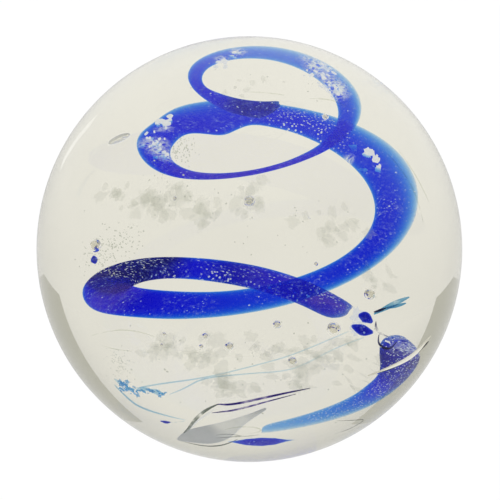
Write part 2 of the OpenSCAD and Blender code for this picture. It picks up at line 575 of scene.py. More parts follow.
@dataclass(frozen=True)
class PaintedSheenFilm:
    """A thin film or sliver that hides what is behind it, paler near some spots: painted
    reflections, highlights and glints, drawn as matt with painted glow.
    """

    name: str
    colour: Colour
    strength: float
    glow: float
    painted_highlight_spots: tuple[Spot, ...] = ()
    # The colour of the painted highlights at the paler spots.
    pale: Colour = (0.92, 0.94, 0.95)
    cover_scale: float = 500.0

    def material(self) -> bpy.types.Material:
        """Makes the material.

        Returns:
            The material.
        """
        shader = Shader(self.name)
        film = shader.matt_with_painted_glow(self.colour, self.glow)
        if self.painted_highlight_spots:
            pale = shader.matt_with_painted_glow(self.pale, self.glow)
            film = shader.mixed(shader.spots(self.painted_highlight_spots).clamped(), film, pale)
        cover = shader.grain(self.cover_scale, 3.0).above(0.2, 0.4) * 0.35 + 0.65
        return shader.finish(shader.mixed(cover * self.strength, shader.clear(), film))


@dataclass(frozen=True)
class TraceGlass:
    """A fine trace of tinted glass or a crack, too thin to have depth: its skin is coloured."""

    name: str
    colour: Colour
    strength: float
    break_scale: float = 1500.0

    def material(self) -> bpy.types.Material:
        """Makes the material.

        Returns:
            The material.
        """
        shader = Shader(self.name)
        broken = shader.grain(self.break_scale, 3.0).above(0.3, 0.25) * self.strength
        return shader.finish(shader.mixed(broken, shader.clear(), shader.clear(self.colour)))


@dataclass(frozen=True)
class PlainStage:
    """A plain matt surface of the studio, part of whose light is its own."""

    name: str
    colour: Colour
    glow: float
    light: Colour = WHITE

    def material(self) -> bpy.types.Material:
        """Makes the material.

        Returns:
            The material.
        """
        shader = Shader(self.name)
        lamp = shader.lamp(self.light, STAGE_LIGHT)
        return shader.finish(shader.mixed(self.glow, shader.matt(self.colour), lamp))


# ---- mesh helpers


def linked(name: str, data: bpy.types.ID) -> bpy.types.Object:
    """Makes an object and links it into the scene.

    Args:
        name: the object's name.
        data: its mesh, curve or camera.

    Returns:
        The object.
    """
    made = bpy.data.objects.new(name, data)
    bpy.context.scene.collection.objects.link(made)
    return made


def new_piece(name: str, mesh: bmesh.types.BMesh, smooth: bool = True) -> bpy.types.Object:
    """Turns a bmesh into an object at the origin.

    Args:
        name: the object's name.
        mesh: the shape, which is freed.
        smooth: whether its faces are shaded smooth.

    Returns:
        The object.
    """
    data = bpy.data.meshes.new(name)
    for face in mesh.faces:
        face.smooth = smooth
    mesh.to_mesh(data)
    mesh.free()
    return linked(name, data)


def as_mesh(piece: bpy.types.Object) -> bpy.types.Object:
    """Replaces an object by one whose mesh is what its modifiers or curve make.

    Args:
        piece: the object, which is removed.

    Returns:
        The new object, with the old one's name.
    """
    graph = bpy.context.evaluated_depsgraph_get()
    data = bpy.data.meshes.new_from_object(piece.evaluated_get(graph))
    name = piece.name
    bpy.data.objects.remove(piece)
    return linked(name, data)


def merged_copy(node: bpy.types.Object) -> bmesh.types.BMesh:
    """A bmesh of a CAD node with its loose triangles joined.

    Args:
        node: the CAD node's object.

    Returns:
        The bmesh.
    """
    mesh = bmesh.new()
    mesh.from_mesh(node.data)
    bmesh.ops.remove_doubles(mesh, verts=mesh.verts, dist=MERGE)
    return mesh


def islands(mesh: bmesh.types.BMesh) -> list[list[bmesh.types.BMVert]]:
    """The separate shells of a mesh.

    Args:
        mesh: the mesh to split.

    Returns:
        The vertices of each shell.
    """
    seen: set[bmesh.types.BMVert] = set()
    shells = []
    for start in mesh.verts:
        if start in seen:
            continue
        seen.add(start)
        shell, todo = [], [start]
        while todo:
            vert = todo.pop()
            shell.append(vert)
            for edge in vert.link_edges:
                other = edge.other_vert(vert)
                if other not in seen:
                    seen.add(other)
                    todo.append(other)
        shells.append(shell)
    return shells


def bounds_of(points: Iterable[Vector]) -> tuple[Vector, Vector]:
    """The box of some points.

    Args:
        points: the points.

    Returns:
        The box's lowest and highest corners.
    """
    listed = list(points)
    low = Vector(min(p[i] for p in listed) for i in range(3))
    high = Vector(max(p[i] for p in listed) for i in range(3))
    return low, high


def longest(mesh: bpy.types.Mesh) -> float:
    """The longest side of a mesh's box."""
    low, high = bounds_of(v.co for v in mesh.vertices)
    return max(high - low)


def rounded(name: str, mesh: bmesh.types.BMesh, levels: int) -> bpy.types.Object:
    """Joins a mesh's triangles in pairs and rounds it by subdivision.

    Args:
        name: the object's name.
        mesh: the shape, which is freed.
        levels: how often it is subdivided.

    Returns:
        The object, with its modifier live.
    """
    bmesh.ops.join_triangles(
        mesh,
        faces=mesh.faces,
        angle_face_threshold=PAIR_ANGLE,
        angle_shape_threshold=PAIR_ANGLE,
    )
    piece = new_piece(name, mesh)
    smooth = piece.modifiers.new("smooth", "SUBSURF")
    smooth.levels = levels
    smooth.render_levels = levels
    return piece


def ride_and_dress(piece: bpy.types.Object, finish: Finish, slot: Slot, *nodes: str) -> None:
    """Gives a piece its material and its body, and hides the nodes it stands for.

    Args:
        piece: the piece.
        finish: its finish.
        slot: the record's material slot, not used.
        nodes: CAD nodes that it replaces.
    """
    piece.data.materials.clear()
    piece.data.materials.append(finish.material())
    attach(piece, BODY)
    if nodes:
        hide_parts(*nodes)


# ---- the ball


@dataclass(frozen=True)
class Groove:
    """A shallow groove in the skin: its middle, its direction, and its half length and depth."""

    middle: Vector
    along: Vector
    half_length: float
    depth: float
    half_width_mm: float = 0.27
    steep: float = 0.35

    def reaches(self, point: Vector, spare: float) -> bool:
        """Whether a point of the skin lies in the groove or near it.

        Args:
            point: a point of the round skin.
            spare: how far from the groove still counts.

        Returns:
            True if it does.
        """
        gap = point - self.middle
        run = gap.dot(self.along)
        side = (gap - self.along * run).length
        return abs(run) < self.half_length + spare and side < self.half_width_mm * MM + spare

    def pressed(self, point: Vector) -> Vector:
        """Where a point of the skin lies once the groove is pressed into it.

        Args:
            point: a point of the round skin.

        Returns:
            The point, moved towards the ball's centre.
        """
        if not self.reaches(point, 0.0):
            return point
        out = point.normalized()
        gap = point - self.middle
        run = gap.dot(self.along) / self.half_length
        if abs(run) >= 1.0:
            return point
        across = self.along.cross(out).normalized()
        if across.z < 0:
            across = -across
        taper = 1.0 - run * run
        side = gap.dot(across) / (self.half_width_mm * MM * taper)
        if not -1.0 <= side <= self.steep:
            return point
        share = 1.0 - side / self.steep if side > 0 else 1.0 + side
        smooth = share * share * (3.0 - 2.0 * share)
        return point - out * (self.depth * taper * smooth)


@dataclass
class ClearBall:
    """The clear ball: a fine skin, with the bubbles and the air pocket as hollows inside it."""

    node: bpy.types.Object
    coloured: Sequence[bpy.types.Object]
    radius: float
    finish: ClearGlass = ClearGlass()
    skin_levels: int = 7
    bubble_levels: int = 4
    pocket_levels: int = 3
    round_tolerance: float = 0.02
    groove_refinements: int = 3
    groove_spare_mm: float = 0.4
    groove_stretch: float = 1.1
    dent_mm: float = 0.02
    skin_depth_mm: float = 0.4
    pockets: list[bpy.types.Mesh] = field(default_factory=list)

    def _coloured_boxes(self) -> list[tuple[Vector, Vector]]:
        """Measures the coloured glass.

        Returns:
            The box of each of its solids.
        """
        boxes = []
        for node in self.coloured:
            mesh = merged_copy(node)
            boxes += [bounds_of(v.co for v in shell) for shell in islands(mesh)]
            mesh.free()
        return boxes

    def build(self) -> bpy.types.Object:
        """Makes the ball, and keeps the mesh of each hollow that isn't round.

        Returns:
            The piece.
        """
        boxes = self._coloured_boxes()
        hollow = merged_copy(self.node)
        out = bmesh.new()
        inside = self.radius - self.skin_depth_mm * MM
        self._add_skin(out, self._find_groove([v.co for v in hollow.verts if v.co.length > inside]))
        bubbles = 0
        for shell in islands(hollow):
            low, high = bounds_of(v.co for v in shell)
            size = high - low
            filled = any(
                (low - start).length < SAME_PLACE and (high - end).length < SAME_PLACE
                for start, end in boxes
            )
            if filled or size.length > self.radius:
                continue
            if max(size) - min(size) < self.round_tolerance * max(size):
                self._add_bubble(out, (low + high) / 2, max(size) / 2)
                bubbles += 1
            else:
                self._add_pocket(out, hollow, shell)
        hollow.free()
        LOG.info("hollows: %d round bubbles and %d others", bubbles, len(self.pockets))
        return new_piece("clear_ball", out)

    def _find_groove(self, skin: Sequence[Vector]) -> Groove | None:
        """Finds the groove of the frame's skin.

        Args:
            skin: the points of the outer skin.

        Returns:
            The groove, or nothing if the skin is round all over.
        """
        dents = [p for p in skin if p.length < self.radius - self.dent_mm * MM]
        if not dents:
            return None
        middle = sum(dents, Vector()) / len(dents)
        far = max(dents, key=lambda p: (p - middle).length)
        along = (far - middle).normalized()
        half = max(abs((p - middle).dot(along)) for p in dents) * self.groove_stretch
        depth = self.radius - min(p.length for p in dents)
        return Groove(middle.normalized() * self.radius, along, half, depth)

    def _add_skin(self, out: bmesh.types.BMesh, groove: Groove | None) -> None:
        """Adds the round skin and presses the groove into it.

        Args:
            out: the mesh to add to.
            groove: the groove, if the skin has one.
        """
        bmesh.ops.create_icosphere(out, subdivisions=self.skin_levels, radius=self.radius)
        if groove is None:
            return
        for step in range(self.groove_refinements):
            spare = self.groove_spare_mm * MM / (step + 1)
            near = {v for v in out.verts if groove.reaches(v.co, spare)}
            edges = [e for e in out.edges if e.verts[0] in near and e.verts[1] in near]
            bmesh.ops.subdivide_edges(out, edges=edges, cuts=1)
            bmesh.ops.triangulate(out, faces=[f for f in out.faces if len(f.verts) > 3])
            for vert in out.verts:
                vert.co = vert.co.normalized() * self.radius
        for vert in out.verts:
            vert.co = groove.pressed(vert.co)
        length, depth = 2 * groove.half_length / MM, groove.depth / MM
        LOG.info("groove %.2f mm long and %.2f mm deep", length, depth)

    def _add_bubble(self, out: bmesh.types.BMesh, centre: Vector, radius: float) -> None:
        """Adds one round bubble, facing into its own air.

        Args:
            out: the mesh to add to.
            centre: the bubble's middle.
            radius: the bubble's radius.
        """
        made = bmesh.ops.create_icosphere(
            out, subdivisions=self.bubble_levels, radius=radius, matrix=Matrix.Translation(centre)
        )
        faces = {f for v in made["verts"] for f in v.link_faces}
        bmesh.ops.reverse_faces(out, faces=list(faces))
        for face in faces:
            face.material_index = HOLLOW_MATERIAL

    def _add_pocket(
        self, out: bmesh.types.BMesh, source: bmesh.types.BMesh, shell: Sequence[bmesh.types.BMVert]
    ) -> None:
        """Adds one other hollow, copied from the frame and rounded.

        Args:
            out: the mesh to add to.
            source: the frame's mesh.
            shell: the hollow's own vertices in it.
        """
        keep = {v.index for v in shell}
        source.verts.index_update()
        part = source.copy()
        part.verts.index_update()
        bmesh.ops.delete(part, geom=[v for v in part.verts if v.index not in keep], context="VERTS")
        piece = as_mesh(rounded("pocket", part, self.pocket_levels))
        for polygon in piece.data.polygons:
            polygon.material_index = HOLLOW_MATERIAL
        out.from_mesh(piece.data)
        self.pockets.append(piece.data)
        bpy.data.objects.remove(piece)

    def dress(self, piece: bpy.types.Object) -> None:
        """Gives the ball its glass, and its hollows the same glass without the tint.

        Args:
            piece: what build() made.
        """
        ride_and_dress(piece, self.finish, Slot.CLEAR, self.node.name)
        untinted = ClearGlass("hollow_glass", WHITE, self.finish.index, ripple=0.0)
        piece.data.materials.append(untinted.material())


# ---- coloured glass


@dataclass
class ColouredBody:
    """One body of coloured glass: a refined copy of its CAD node."""

    node: bpy.types.Object
    finish: ColouredGlass
    slot: Slot
    levels: int = 2

    def build(self) -> bpy.types.Object:
        """Copies the node, joins its triangles in pairs and smooths it."""
        return rounded(f"{self.node.name}_glass", merged_copy(self.node), self.levels)

    def dress(self, piece: bpy.types.Object) -> None:
        """Gives the body its glass."""
        ride_and_dress(piece, self.finish, self.slot, self.node.name)


# ---- films, flakes and traces


@dataclass
class Inclusion:
    """Something thin in the clear glass that stands for no CAD node."""

    name: str
    finish: Finish

    def dress(self, piece: bpy.types.Object) -> None:
        """Gives the piece its finish."""
        ride_and_dress(piece, self.finish, Slot.CLEAR)


@dataclass
class Film(Inclusion):
    """A thin film in the glass just outside one of the ball's hollows, which carries the hollow's
    painted reflection and highlights.
    """

    hollow: bpy.types.Mesh
    gap_mm: float = 0.03

    def build(self) -> bpy.types.Object:
        """Copies the hollow's wall, moves it into the glass and turns it outward.

        Returns:
            The piece.
        """
        mesh = bmesh.new()
        mesh.from_mesh(self.hollow)
        moved = [(v, v.co - v.normal * self.gap_mm * MM) for v in mesh.verts]
        for vert, place in moved:
            vert.co = place
        bmesh.ops.reverse_faces(mesh, faces=mesh.faces)
        return new_piece(self.name, mesh)


@dataclass(frozen=True)
class Cluster:
    """A loose group of flakes: its middle and spread in per cent of the ball's radius."""

    middle: Point
    spread: Point
    count: int
    size_mm: float


@dataclass
class Flakes(Inclusion):
    """Small jagged flakes of half-melted glass, scattered in groups.

    A flake tips by lean radians from lying flat, give or take tilt. It tips towards facing, or
    outward if that is None, give or take swing. Its corners reach from ragged to 1 of its size.
    """

    clusters: Sequence[Cluster]
    ball_radius: float
    corners: int = 9
    thickness_mm: float = 0.02
    lean: float = 0.75
    tilt: float = 0.3
    swing: float = 0.5
    facing: float | None = None
    ragged: float = 0.6
    narrow: float = 0.75
    scatter: float = 0.5
    sizes: tuple[float, float] = (0.4, 1.2)
    seed: int = 7

    def _one(
        self, out: bmesh.types.BMesh, place: Vector, size: float, chance: random.Random
    ) -> None:
        """Adds one flake: a thin jagged plate, tipped at random.

        Args:
            out: the mesh to add to.
            place: the flake's middle.
            size: its greatest reach.
            chance: where its random numbers come from.
        """
        made = bmesh.ops.create_cone(
            out,
            cap_ends=True,
            cap_tris=True,
            segments=self.corners,
            radius1=1.0,
            radius2=1.0,
            depth=self.thickness_mm * MM,
        )["verts"]
        core = out.verts.layers.float[CORE]
        reach = [chance.uniform(self.ragged, 1.0) for _ in range(self.corners)]
        for vert in made:
            vert[core] = 1.0 if vert.co.xy.length < 0.5 else 0.0
            turn = math.atan2(vert.co.y, vert.co.x) / math.tau * self.corners
            share = reach[round(turn) % self.corners]
            vert.co.x *= share * size
            vert.co.y *= share * size * self.narrow
        outward = math.atan2(place.y, place.x) if self.facing is None else self.facing
        outward += chance.uniform(-self.swing, self.swing)
        lean = self.lean + chance.uniform(-self.tilt, self.tilt)
        pose = (
            Matrix.Translation(place)
            @ Matrix.Rotation(outward, 4, "Z")
            @ Matrix.Rotation(lean, 4, "Y")
            @ Matrix.Rotation(chance.uniform(0.0, math.tau), 4, "Z")
        )
        bmesh.ops.transform(out, matrix=pose, verts=made)

    def build(self) -> bpy.types.Object:
        """Scatters the flakes.

        Returns:
            The piece.
        """
        chance = random.Random(self.seed)
        out = bmesh.new()
        out.verts.layers.float.new(CORE)
        for cluster in self.clusters:
            for _ in range(cluster.count):
                place = [
                    middle + spread * chance.gauss(0.0, self.scatter)
                    for middle, spread in zip(cluster.middle, cluster.spread)
                ]
                size = cluster.size_mm * MM * chance.uniform(*self.sizes)
                self._one(out, Vector(place) * (self.ball_radius / 100), size, chance)
        return new_piece(self.name, out, smooth=False)


@dataclass(frozen=True)
class Trace:
    """One fine line: points in per cent of the ball's radius, and its greatest width in mm."""

    points: tuple[Point, ...]
    width_mm: float


@dataclass
class Traces(Inclusion):
    """Fine lines in the glass: hair cracks, thread ends, the rims of folds, and painted glints and
    highlights.
    """

    lines: Sequence[Trace]
    ball_radius: float
    steps: int = 6
    sides: int = 2
    order: int = 3
    taper: float = 0.08

    def build(self) -> bpy.types.Object:
        """Draws the lines as thin tapered tubes.

        Returns:
            The piece.
        """
        data = bpy.data.curves.new(self.name, "CURVE")
        data.dimensions = "3D"
        data.bevel_depth = 1.0
        data.bevel_resolution = self.sides
        data.use_fill_caps = True
        for line in self.lines:
            spline = data.splines.new("NURBS")
            last = len(line.points) - 1
            spline.points.add(last)
            for index, (point, share) in enumerate(zip(spline.points, line.points)):
                point.co = (*(Vector(share) * (self.ball_radius / 100)), 1.0)
                along = self.taper + (1.0 - 2 * self.taper) * index / last
                point.radius = line.width_mm * MM / 2 * math.sin(math.pi * along)
            spline.order_u = self.order
            spline.use_endpoint_u = True
            spline.resolution_u = self.steps
        piece = as_mesh(linked(self.name, data))
        for polygon in piece.data.polygons:
            polygon.use_smooth = True
        return piece


# ---- studio


@dataclass(frozen=True)
class Panel:
    """An upright panel that faces the ball, its middle at a height above the ball's centre.

    Azimuth counts in degrees from straight behind the ball towards the right, and roll is by how
    many degrees the panel's top leans to the left.
    """

    name: str
    azimuth: float
    height: float
    width: float
    tall: float
    distance: float
    roll: float = 0.0

    def mesh(self) -> bmesh.types.BMesh:
        """Makes its shape, in its place.

        Returns:
            The shape.
        """
        mesh = bmesh.new()
        pose = (
            Matrix.Rotation(math.radians(-self.azimuth), 4, "Z")
            @ Matrix.Translation((0.0, self.distance, self.height))
            @ Matrix.Rotation(math.radians(90), 4, "X")
            @ Matrix.Rotation(math.radians(self.roll), 4, "Z")
            @ Matrix.Diagonal((self.width, self.tall, 1.0, 1.0))
        )
        bmesh.ops.create_grid(mesh, x_segments=1, y_segments=1, size=0.5, matrix=pose)
        return mesh


@dataclass
class Studio:
    """Floor, soft light, grey side cards, a lamp strip and the camera.

    ball_share is how much of the frame the ball takes up, and shift moves the frame. The light is
    that of a tent. Towards the camera it falls to near_side, from falloff on and over
    falloff_width, less so by crown overhead. It rises by sideways to the right, and falls to below
    from the horizon down, over dusk. The screen blends into it up to rise.
    """

    ball_radius: float
    elevation: float = math.radians(20)
    distance: float = 0.25
    sensor: float = 36.0
    ball_share: float = 0.8516
    shift: tuple[float, float] = (0.0012, -0.0018)
    clip: float = 0.01
    near_side: float = 0.22
    falloff: float = 0.4
    falloff_width: float = 1.3
    sideways: float = 0.06
    below: float = 0.72
    dusk: float = 0.25
    crown: float = 0.8
    sky: Colour = (1.0, 1.0, 0.985)
    rise: float = 0.4
    screen_radius: float = 2.9
    screen_height: float = 2.4
    screen_sides: int = 64
    floor_half: float = 3.0
    floor: PlainStage = PlainStage("floor", (0.96, 0.96, 0.95), glow=0.985)
    card_colour: Colour = (0.22, 0.22, 0.18)
    card_light: Colour = (1.0, 1.0, 0.93)
    card_glow: float = 0.52
    cards: tuple[Panel, ...] = (
        Panel("card_right", 66.0, height=0.26, width=0.46, tall=0.5, distance=0.5, roll=25.0),
        Panel("card_left", -64.0, height=0.26, width=0.46, tall=0.5, distance=0.5, roll=-25.0),
    )
    strip: Panel = Panel("strip", -30.0, height=0.02, width=0.06, tall=0.16, distance=0.8)
    strip_glow: float = 1.4
    bounces: int = 24
    clear_bounces: int = 64

    def build(self) -> None:
        """Makes the whole studio."""
        self._world()
        self._screen()
        self._floor()
        self._cards()
        self._strip()
        self._camera()
        bpy.context.scene.view_settings.view_transform = "Standard"
        cycles = bpy.context.scene.cycles
        cycles.max_bounces = self.bounces
        cycles.transmission_bounces = self.bounces
        cycles.transparent_max_bounces = self.clear_bounces

    def _tent(self, shader: Shader, place: bpy.types.NodeSocket) -> tuple[Value, Value]:
        """The light of a tent that falls off towards the camera's side.

        Args:
            shader: the shader to add to.
            place: a place in the direction that is asked for.

        Returns:
            The strength of the light from there, and how far up the place stands.
        """
        way = shader.node("ShaderNodeVectorMath", {"operation": "NORMALIZE"}, {0: place})
        parts = shader.node("ShaderNodeSeparateXYZ", {}, {0: way.outputs["Vector"]})
        right, back, up = (Value(parts.outputs[axis]) for axis in "XYZ")
        gloom = (1.0 - back.above(-self.falloff, self.falloff_width)) * (1.0 - self.near_side)
        filled = 1.0 - up.above(0.5, 0.5) * self.crown
        light = (1.0 - gloom * filled) * (right * self.sideways + 1.0)
        horizon = up.above(-self.dusk, self.dusk) * (1.0 - self.below) + self.below
        return light * horizon, up

    def _world(self) -> None:
        """A near-white surround."""
        shader = Shader("surround", world=True)
        light, _ = self._tent(shader, shader.node("ShaderNodeTexCoord").outputs["Generated"])
        sky = shader.node("ShaderNodeBackground", {}, {"Color": self.sky, "Strength": light})
        bpy.context.scene.world = shader.finish(sky)

    def _screen(self) -> None:
        """A round screen, seen only through glass, that blends floor light into tent light."""
        mesh = bmesh.new()
        bmesh.ops.create_cone(
            mesh,
            cap_ends=False,
            segments=self.screen_sides,
            radius1=self.screen_radius,
            radius2=self.screen_radius,
            depth=self.screen_height,
            matrix=Matrix.Translation((0, 0, self.screen_height / 2 - self.ball_radius)),
        )
        shader = Shader("screen")
        light, up = self._tent(shader, shader.place())
        rise = up.above(0.0, self.rise)
        lamp = shader.lamp(WHITE, rise * light + (1.0 - rise) * STAGE_LIGHT)
        self._unseen("screen", mesh, shader.finish(lamp)).visible_glossy = False

    def _unseen(
        self, name: str, mesh: bmesh.types.BMesh, finish: bpy.types.Material
    ) -> bpy.types.Object:
        """A stage piece that neither the camera nor a matt surface sees.

        Args:
            name: its name.
            mesh: its shape.
            finish: its material.

        Returns:
            The piece.
        """
        piece = new_piece(name, mesh, smooth=False)
        piece.visible_camera = False
        piece.visible_diffuse = False
        piece.visible_shadow = False
        piece.data.materials.append(finish)
        return piece

    def _floor(self) -> None:
        """A pale floor that the ball touches, most of whose light is its own."""
        mesh = bmesh.new()
        down = Matrix.Translation((0, 0, -self.ball_radius))
        bmesh.ops.create_grid(mesh, x_segments=1, y_segments=1, size=self.floor_half, matrix=down)
        floor = new_piece("floor", mesh, smooth=False)
        floor.visible_glossy = False
        floor.data.materials.append(self.floor.material())

    def _cards(self) -> None:
        """Grey cards behind both sides, which darken the ball's lower flanks."""
        for panel in self.cards:
            finish = PlainStage(panel.name, self.card_colour, self.card_glow, self.card_light)
            card = self._unseen(panel.name, panel.mesh(), finish.material())
            card.visible_glossy = False

    def _strip(self) -> None:
        """A bright strip behind the left shoulder, for one soft glint."""
        shader = Shader(self.strip.name)
        lamp = shader.finish(shader.lamp(WHITE, self.strip_glow))
        self._unseen(self.strip.name, self.strip.mesh(), lamp).visible_transmission = False

    def _camera(self) -> None:
        """The camera, level with the ball's centre in its frame."""
        half = math.tan(math.asin(self.ball_radius / self.distance)) / self.ball_share
        data = bpy.data.cameras.new("camera")
        data.sensor_width = self.sensor
        data.lens = self.sensor / 2 / half
        data.shift_x, data.shift_y = self.shift
        data.clip_start = self.clip
        camera = linked("camera", data)
        camera.location = (
            0.0,
            -self.distance * math.cos(self.elevation),
            self.distance * math.sin(self.elevation),
        )
        camera.rotation_euler = (math.pi / 2 - self.elevation, 0.0, 0.0)
        bpy.context.scene.camera = camera


# ---- places in the glass


def trace(width_mm: float, *points: Point) -> Trace:
    """A fine line through some points."""
    return Trace(points, width_mm)


def level(width_mm: float, back: float, *points: tuple[float, float]) -> Trace:
    """A fine line that keeps one depth, through points that are right and up."""
    return Trace(tuple((right, back, up) for right, up in points), width_mm)


# Spots are in mm from the ball's centre. Clusters and lines are in per cent of its radius: to the
# right, back and up.

RIBBON_FROST = (
    Spot(2.66, 3.44, 7.21, 0.8, 0.5),
    Spot(3.07, 2.87, 7.09, 0.9, 0.65),
    Spot(3.73, 1.80, 6.84, 0.8, 0.75),
    Spot(4.02, 1.29, 6.75, 0.7, 0.75),
    Spot(-1.23, 2.34, 7.95, 0.5, 0.8),
    Spot(-0.50, 3.32, 7.71, 0.5, 0.6),
    Spot(-3.55, -0.70, 4.18, 0.6, 0.5),
    Spot(-3.75, 0.10, 4.12, 0.8, 0.6),
    Spot(-3.90, 1.10, 4.02, 0.9, 0.65),
    Spot(-3.30, 2.60, 3.76, 0.5, 0.7),
    Spot(3.67, 3.06, 2.36, 0.3, 0.7),
)
RIBBON_VEIL = (
    Spot(-4.33, 2.96, -2.27, 1.5, 1.0),
    Spot(-4.43, 4.21, -2.38, 1.7, 1.3),
    Spot(-3.63, 5.50, -2.44, 1.6, 1.3),
    Spot(-2.96, 5.92, -2.53, 1.4, 1.0),
    Spot(-0.20, 5.40, -2.90, 1.5, 0.5),
    Spot(2.20, 5.30, -3.70, 1.6, 0.3),
    Spot(0.30, -3.10, 8.80, 2.2, 0.55),
)
RIBBON_HAZE = (
    Spot(2.40, 5.60, -3.60, 1.8, 0.28),
    Spot(0.80, 6.00, -3.20, 1.8, 0.1),
    Spot(1.50, -3.70, 5.60, 2.4, 0.22),
    Spot(-1.00, -3.47, 4.92, 2.4, 0.24),
    Spot(-2.60, -2.20, 4.40, 1.8, 0.15),
    Spot(-5.50, -0.50, -2.20, 2.4, 0.16),
    Spot(-5.40, 3.40, -2.40, 1.8, 0.05),
)
RIBBON_SPARKLES = (
    Spot(1.30, 5.20, 2.90, 1.8, 0.55),
    Spot(2.60, 4.20, 2.80, 1.6, 0.5),
    Spot(5.50, 0.20, 1.40, 1.0, 0.25),
    Spot(5.40, -1.60, 1.00, 1.0, 0.2),
    Spot(-4.33, 2.96, -2.27, 0.9, 0.8),
    Spot(-4.43, 4.21, -2.38, 1.2, 1.0),
    Spot(-3.60, 5.00, -2.44, 1.0, 0.8),
    Spot(-2.70, 4.82, -2.48, 0.8, 0.6),
    Spot(-1.01, 5.00, -2.77, 0.8, 0.6),
    Spot(0.40, 5.30, -3.10, 1.2, 0.35),
    Spot(1.60, 5.40, -3.40, 1.2, 0.35),
    Spot(2.60, 5.50, -3.70, 1.0, 0.35),
    Spot(1.46, 4.07, 3.04, 0.4, 0.8),
    Spot(2.44, 3.84, 2.77, 0.5, 0.8),
)
TAIL_FROST = (Spot(4.70, 2.98, -4.28, 0.7, 0.5), Spot(5.54, 2.04, -4.59, 0.8, 0.5))
TAIL_VEIL = (Spot(5.2, 2.0, -4.5, 2.6, 0.8), Spot(6.2, -0.6, -5.2, 1.8, 0.4))
TAIL_SPARKLES = (
    Spot(5.0, 2.4, -4.4, 1.6, 0.9),
    Spot(5.9, 0.6, -5.1, 1.8, 0.8),
    Spot(6.1, -1.4, -5.6, 1.8, 0.5),
    Spot(5.6, -3.4, -6.1, 1.8, 0.5),
    Spot(4.2, -5.0, -6.6, 2.0, 0.4),
    Spot(2.4, -5.9, -7.0, 2.2, 0.3),
)
FROSTED_CHIPS = (
    Cluster((29.4, 31.2, 19.6), (0.4, 0, 0.4), 2, 0.3),
    Cluster((34.8, 26.8, 20), (1.2, 0, 0.4), 4, 0.24),
    Cluster((37.8, 23.4, 19.6), (0.6, 0, 1.2), 3, 0.28),
    Cluster((39, 21.4, 17.8), (0.6, 0, 1.6), 5, 0.28),
    Cluster((33.4, 22.2, 17.2), (1.6, 1, 1), 3, 0.2),
    Cluster((27.2, 34.5, -31.4), (2, 1, 2.5), 16, 0.2),
)
FROST_GRAINS = (
    Cluster((24.6, 21, 57.5), (5, 6, 1.5), 22, 0.16),
    Cluster((30, 13, 55.5), (5, 6, 1.5), 24, 0.18),
    Cluster((-10, 17, 64.5), (3, 3, 1), 8, 0.2),
    Cluster((-4, 25, 62.5), (3, 3, 1), 6, 0.18),
    Cluster((-25, 27, 31), (3, 3, 1.5), 9, 0.24),
    Cluster((-31, 10, 33.5), (3.5, 8, 1.5), 30, 0.13),
    Cluster((-30, -2, 34), (2.5, 5, 1.5), 16, 0.13),
)
FOLD_LINES = (
    level(
        0.14, -56,
        (-13.5, -45.3), (-12, -44.6), (-9.4, -45), (-4.1, -44.1), (3.7, -42), (12.4, -40),
        (19, -38.8), (24, -38),
    ),
    level(
        0.12, -56,
        (-14.9, -49.2), (-10.9, -48.4), (-6.9, -47.7), (-0.6, -45.7), (8.1, -42.9), (18.2, -40.3),
    ),
)
GREY_LINES = (
    level(0.2, -56, (-32.5, -69.9), (-26.6, -62.1), (-21.8, -52.5), (-16.1, -46.7), (-12, -44.6)),
    level(0.14, -56, (-31, -70.8), (-24.5, -71.6), (-17.6, -71.6), (-10, -68.5), (-5, -64)),
    level(
        0.06, -24,
        (31.2, -56), (38, -57.5), (44, -59.6), (40, -62), (35.2, -63.2), (31.2, -63.2),
    ),
    level(0.06, -57.5, (-14, -64), (-8, -62.5), (-2, -62), (4, -61)),
    level(0.05, -57.5, (-14, -62), (-10, -60.5), (-4, -61.5), (1, -62.5)),
)
DARK_LINES = (
    trace(0.1, (32, 32, -31.2), (32, 30.4, -32.4), (33.6, 28.8, -33.6), (36, 26, -33.6)),
    trace(0.13, (31.5, 33, -29), (33, 33.4, -28.6), (34.4, 33.6, -28)),
    level(0.09, 12, (37.2, -30.2), (36.4, -32.4), (38, -34.4), (40.8, -34.6), (42.2, -32.6)),
)
WISP_LINES = (
    trace(0.18, (31.5, 33, -29.5), (34.4, 33.6, -28), (38.4, 32, -25.6), (41, 31, -24.4)),
    trace(0.16, (34.4, 33.6, -28), (37.2, 32, -27.2), (40, 31, -26)),
    level(0.07, -57, (-34.5, -57.6), (-31, -57), (-27, -55.1)),
)
FAINT_LINES = (
    level(0.08, -48, (-65.6, -20.8), (-56, -16.8), (-42.4, -16), (-36, -18.4)),
    level(0.08, -48, (-60, -24.5), (-53, -25.5), (-46, -25)),
    level(0.09, -57, (-10, -58), (-6, -56.2), (1, -56), (5, -57.5), (4, -59.5), (-1, -60.5)),
    level(0.12, -16, (24, 70), (30, 70.8), (36, 70.2), (40, 68)),
    level(0.12, -16, (0, 72.5), (8, 72.2), (14, 71)),
    level(0.12, -10, (52, 42), (58, 34), (62, 24), (63, 14)),
    level(0.12, -10, (58, 44), (64, 34), (68, 22)),
)
# White glowing slivers: a painted glint in the clear glass, a painted highlight along the fold's
# rim, and a short white line by the dark hairline.
WHITE_AND_GLINT_LINES = (
    level(0.12, -56, (-29, -66), (-24.5, -58.5), (-19.5, -52), (-14, -47.5)),
    level(0.25, -48, (23, 31), (24, 30)),
    level(0.26, 12, (38.8, -32.2), (40.2, -32.8)),
)
